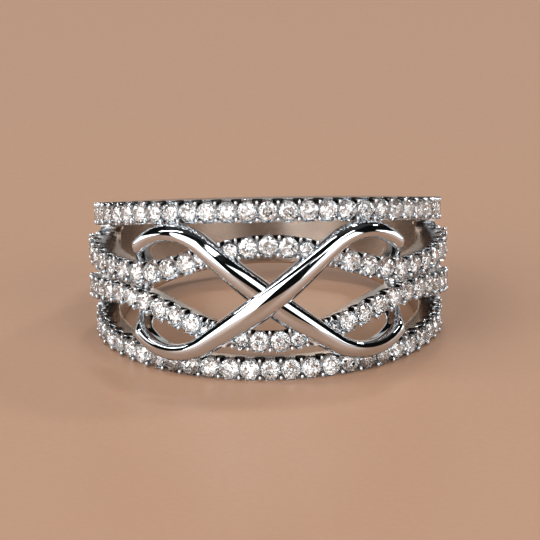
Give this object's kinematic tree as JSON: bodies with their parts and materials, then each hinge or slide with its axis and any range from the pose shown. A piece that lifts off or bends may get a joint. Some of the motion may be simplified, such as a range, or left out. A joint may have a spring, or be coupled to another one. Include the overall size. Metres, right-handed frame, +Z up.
{
  "type": "infinity ring",
  "caption": "Wide openwork finger ring: two stone-set rails, two stone-set waves and a plain infinity loop woven over them, on a plain shank.",
  "frame": {"origin": "middle of the ring's box, on the surface that it rests on", "axes": "+Z up from the surface, with the ring lying on its lower rail; -Y towards the front, where the infinity loop is; +X to the right seen from the front"},
  "size_m": [0.0208, 0.0211, 0.0102],
  "materials": {
    "polished_silver": "mirror polished, rhodium bright",
    "clear_stone": "clear cut stone"
  },
  "bodies": {
    "root": {"ring_body": "polished_silver", "upper_rail_stones": "clear_stone", "upper_wave_stones": "clear_stone", "lower_wave_stones": "clear_stone", "lower_rail_stones": "clear_stone"}
  },
  "joints": []
}
